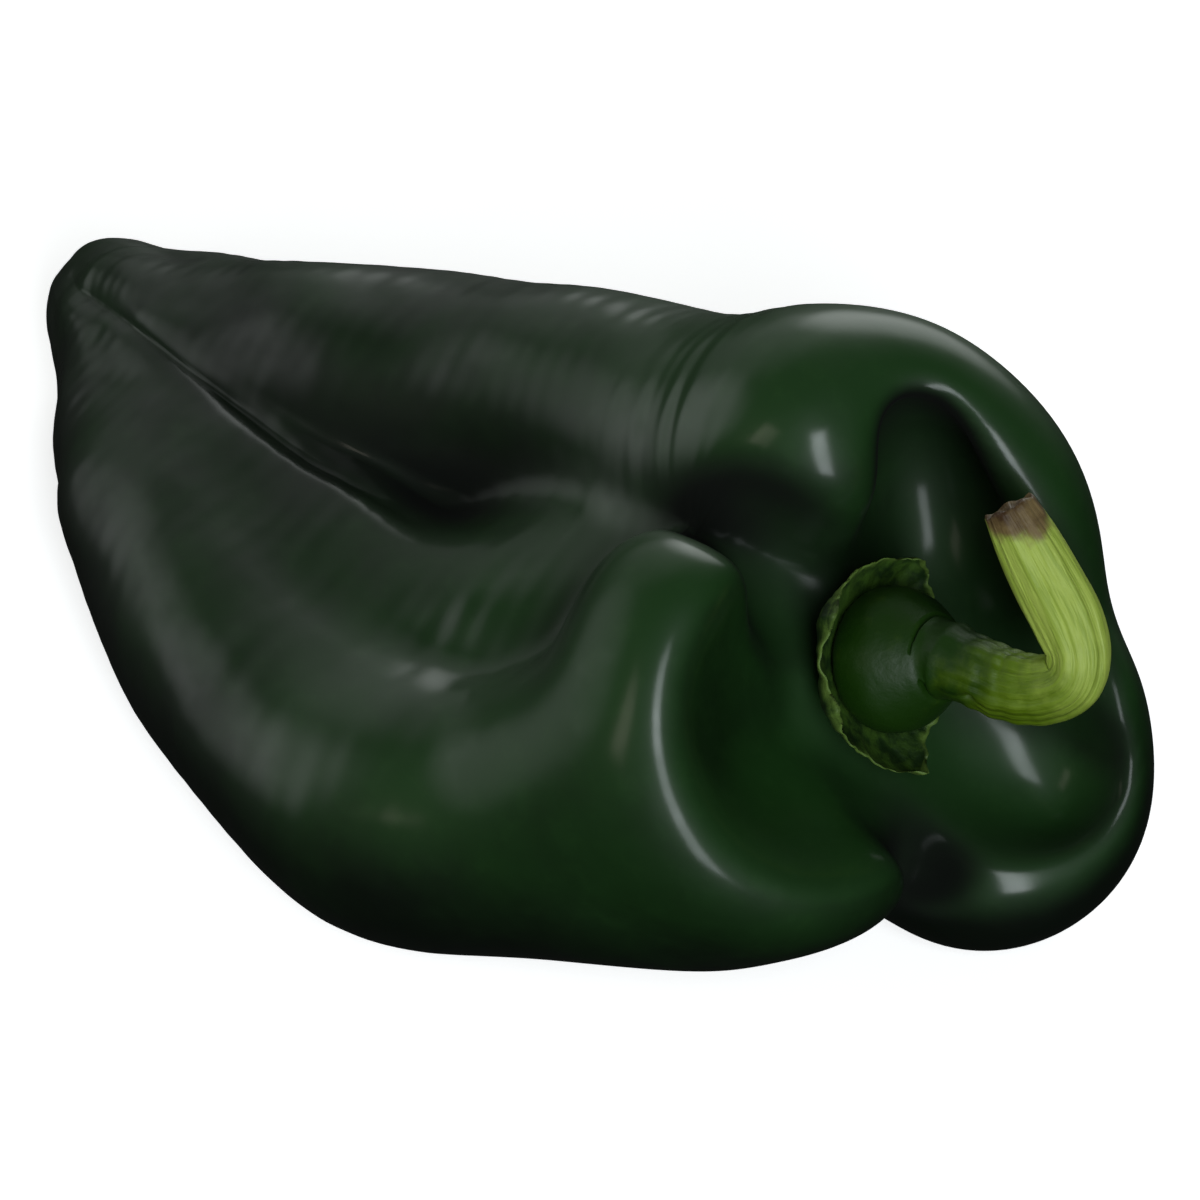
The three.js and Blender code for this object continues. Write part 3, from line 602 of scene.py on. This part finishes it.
# ---------------------------------------------------------------------------
# Stem.  A swollen dark foot on the calyx, a ring where the flower sat, then a ribbed fleshy arm
# that bends sharply, flattens and folds back over the pod to a dry brown cut.
# ---------------------------------------------------------------------------
FOOT = [(0.6, 4.4), (0.9, 5.6), (1.8, 6.3), (3.4, 6.5), (5.2, 6.2), (7, 5.2), (8.6, 4.1),
        (9.8, 3.4)]     # height on the stem's axis, radius
ARM = [(53.2, 8.8, 35.8, 3.3, 3.2), (56.6, 9.3, 36, 3.3, 3), (59.8, 10.2, 37, 3.2, 2.9),
       (62, 11.4, 39, 3, 2.9), (61.8, 12.6, 41.3, 3, 2.8), (59.6, 13.7, 43.3, 3.4, 2.8),
       (56.6, 14.6, 45.4, 3.4, 2.7), (53.4, 15.4, 48, 3.1, 2.6),
       (50.6, 16, 50.4, 2.5, 2.3)]     # x, y, z, half width across the bend, half thickness
BEND_NORMAL = np.array([0.17, -0.86, 0.48])
STEM_STEPS, STEM_POINTS = 12, 160     # rings between two knots, and points round a ring
RIBS = [(5, 0.5), (8, 0.6), (13, 0.4), (21, 0.25)]     # ribs round the arm and their weight
RIB_HEIGHT, WRINKLE_HEIGHT = 0.13, 0.08
SCAR_HEIGHT, SCAR_WIDTH = 0.35, 0.025                  # the ring where the flower sat
NOTCH_DEPTH, NOTCH_PLACE, NOTCH_TURN = 0.9, 0.14, 2.2
TIGHTEST = 0.8                                         # share of the bend's radius the arm may fill
CUT_SHRINK = np.array([0.93, 0.8, 0.5, 0.2])           # rings across the cut end, and how deep they lie
CUT_DEPTH = np.array([0.12, -0.15, -0.5, -0.6])

foot_knots = [tuple(SEAT + STEM_AXIS * height) + (radius, radius) for height, radius in FOOT]
stations = smooth_run(foot_knots + ARM, STEM_STEPS)
foot_rings = (len(FOOT) - 1) * STEM_STEPS
middle = stations[:, :3]
speed = np.gradient(middle, axis=0)
heading = speed.copy()
heading[:foot_rings] = STEM_AXIS
heading /= np.linalg.norm(heading, axis=1, keepdims=True)
side = np.cross(BEND_NORMAL, heading)
side /= np.linalg.norm(side, axis=1, keepdims=True)
across = np.cross(heading, side)
bending = np.gradient(speed, axis=0) / np.maximum((speed ** 2).sum(-1, keepdims=True), TINY)
towards = (bending * side).sum(-1)[:, None]            # curvature to the side, 1/mm

# x runs from 0 at the top of the foot to 1 at the cut, y is the turn round the arm.
arm = np.clip((np.arange(len(stations)) - foot_rings) / (len(stations) - 1 - foot_rings), 0, 1)
around = np.arange(STEM_POINTS) / STEM_POINTS * 2 * np.pi
x, y = np.meshgrid(arm, around, indexing="ij")
draw = np.random.default_rng(4)
ribs = sum(weight * np.sin(count * y + draw.uniform(0, 6.28) + 1.5 * np.sin(3 * x + count))
           for count, weight in RIBS)
wrinkle = np.sin(95 * x + 2.2 * np.sin(2 * y + 1) + 3 * np.sin(y)) * np.exp(-((x - 0.18) / 0.16) ** 2)
swell = RIB_HEIGHT * ribs * np.clip(x * 6, 0.05, 1) + WRINKLE_HEIGHT * wrinkle
swell += SCAR_HEIGHT * np.exp(-((x - 0.02) / SCAR_WIDTH) ** 2)
swell -= NOTCH_DEPTH * np.exp(-((x - NOTCH_PLACE) / 0.02) ** 2 - ((y - NOTCH_TURN) / 0.25) ** 2)
sideways = stations[:, 3:4] * np.cos(around) * (1 + swell / 3.3)
sideways = np.where(sideways * towards > TIGHTEST, TIGHTEST / np.where(towards == 0, 1, towards), sideways)
upwards = stations[:, 4:5] * np.sin(around) * (1 + swell / 3)
stem_rings = (middle[:, None] + sideways[..., None] * side[:, None]
              + upwards[..., None] * across[:, None] + CENTRING)
cut_middle = stem_rings[-1].mean(0)
cut_rings = cut_middle + (stem_rings[-1] - cut_middle) * CUT_SHRINK[:, None, None]
cut_rings += heading[-1] * (CUT_DEPTH[:, None] + 0.18 * np.sin(5 * around + 1))[..., None]
stem = closed_mesh("stem_arm", np.vstack([stem_rings, cut_rings]))
for name, values, at_cut in (("along_arm", x, 1), ("cut", x + 0.045 * np.cos(y - 2.6), 1.2)):
    add_values(stem, name, np.append(np.vstack([values, np.full(cut_rings.shape[:2], at_cut)]), [0, at_cut]))
add_values(stem, "round", np.append(np.vstack([y, y[:len(cut_rings)]]), [0, 0]))

# From the dark foot to the pale arm, the colour is partly the stem's own and partly painted: shade on the
# foot and light on the upper arm.
FOOT_GREEN, ARM_GREEN = (0.008, 0.036, 0.0005, 1), (0.090, 0.160, 0.0012, 1)
PALE_GREEN = (0.44, 0.56, 0.10, 1)
LOWER_STREAK, UPPER_STREAK = (0.035, 0.085, 0.001, 1), (0.24, 0.35, 0.03, 1)
CUT_DARK, CUT_TAN = (0.05, 0.022, 0.006, 1), (0.19, 0.13, 0.05, 1)
green = Shader("stem_flesh")
green_mottle = green.noise(320, 4, 0.6)
arm_tone_and_painted_light = green.stored("along_arm") + (green_mottle - 0.5) * 0.35
turned = green.stored("round")
lane = green.node("ShaderNodeCombineXYZ", None, {
    0: green.node("ShaderNodeMath", {"operation": "SINE"}, {0: turned}) * 3,
    1: green.node("ShaderNodeMath", {"operation": "COSINE"}, {0: turned}) * 3,
    2: green.stored("along_arm") * 2})
lanes = green.noise(2.2, 3, 0.6, lane)
streaks = green.between(lanes, 0.45, 0.62) * green.between(arm_tone_and_painted_light, 0.05, 0.35) * 0.6
streak_colour = green.blend(green.between(arm_tone_and_painted_light, 0.05, 0.5), LOWER_STREAK, UPPER_STREAK)
at_cut = green.between(green.stored("cut") + (green_mottle - 0.5) * 0.14, 0.93, 0.98)
brown = green.blend(green.between(green_mottle, 0.35, 0.65), CUT_DARK, CUT_TAN)
# Painted light and shade, over the stem's own tone: darker at the foot, paler up the arm.
stem_colour = green.blend(green.between(arm_tone_and_painted_light, 0.02, 0.30), FOOT_GREEN, ARM_GREEN)
stem_colour = green.blend(green.between(arm_tone_and_painted_light, 0.28, 0.62), stem_colour, PALE_GREEN)
stem_colour = green.blend(streaks, stem_colour, streak_colour)
stem_colour = green.blend(at_cut, stem_colour, brown)
furrows = green.bump(lanes, green.between(green.stored("along_arm"), 0.0, 0.3) * 0.5, 0.0005)
stem.data.materials.append(green.finish(
    Base_Color=stem_colour, Roughness=0.42 + green_mottle * 0.15, Specular_IOR_Level=0.35,
    Normal=green.bump(green_mottle, 0.35, 0.0005, furrows)))
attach(stem, "root")
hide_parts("stem")

# ---------------------------------------------------------------------------
# Table.  A plain pale sheet under the pepper, which takes its soft shadow.  It is kept out of the
# skin's reflections and lends the pepper no light, so that the pod's underside stays dark.
# ---------------------------------------------------------------------------
TABLE_HALF = 3.0
table_mesh = bpy.data.meshes.new("table")
table_mesh.from_pydata([(-TABLE_HALF, -TABLE_HALF, 0), (TABLE_HALF, -TABLE_HALF, 0),
                        (TABLE_HALF, TABLE_HALF, 0), (-TABLE_HALF, TABLE_HALF, 0)], [], [(0, 1, 2, 3)])
table = bpy.data.objects.new("table", table_mesh)
bpy.context.scene.collection.objects.link(table)
paper = Shader("table_paper")
table_mesh.materials.append(paper.finish(
    Base_Color=paper.blend(paper.noise(40), (0.83, 0.83, 0.83, 1), (0.86, 0.86, 0.86, 1)), Roughness=0.9,
    Specular_IOR_Level=0.0, Emission_Color=(1, 1, 1, 1), Emission_Strength=0.68))
table.visible_glossy = False
table.visible_diffuse = False
